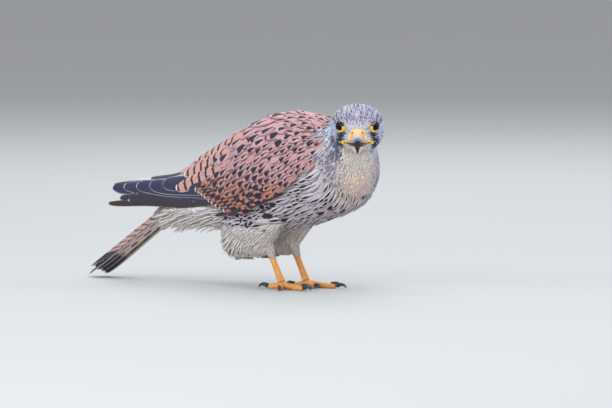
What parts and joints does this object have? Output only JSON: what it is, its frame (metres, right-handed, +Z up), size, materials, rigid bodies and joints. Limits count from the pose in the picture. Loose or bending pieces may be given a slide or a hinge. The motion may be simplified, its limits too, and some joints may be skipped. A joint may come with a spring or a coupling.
{
  "type": "common kestrel, still life-size model",
  "caption": "Still life-size model of a standing falcon with folded wings, drooped tail and its head turned to the side.",
  "frame": {"origin": "middle of the bird's outline on the floor, at the level of its soles", "axes": "+X the way the body points, +Y the bird's left, +Z up"},
  "size_m": [0.3245, 0.0848, 0.1541],
  "materials": {
    "head_feathers": "pale grey feathers with fine dark streaks",
    "body_feathers": "cream feathers with dark drops, rufous with dark arrowheads on the back",
    "wing_feathers": "rufous coverts with black bars, slate brown flight feathers",
    "tail_feathers": "rufous feathers with narrow dark bars, a black band and a pale tip",
    "leg_scales": "orange yellow scales, dull",
    "claw": "black horn, satin",
    "eye": "very dark brown, wet gloss",
    "cere_skin": "bright yellow bare skin",
    "bill_horn": "blue grey horn with a black tip"
  },
  "bodies": {
    "root": {"cere": "cere_skin", "claw_hind_left": "claw", "claw_hind_right": "claw", "claw_inner_left": "claw", "claw_inner_right": "claw", "claw_middle_left": "claw", "claw_middle_right": "claw", "claw_outer_left": "claw", "claw_outer_right": "claw", "eye_left": "eye", "eye_right": "eye", "foot_left": "leg_scales", "foot_right": "leg_scales", "head": "head_feathers", "lower_bill": "bill_horn", "neck": "body_feathers", "tail": "tail_feathers", "tarsus_left": "leg_scales", "tarsus_right": "leg_scales", "thigh_left": "body_feathers", "thigh_right": "body_feathers", "trunk": "body_feathers", "upper_bill": "bill_horn", "wing_left": "wing_feathers", "wing_right": "wing_feathers"}
  },
  "joints": []
}
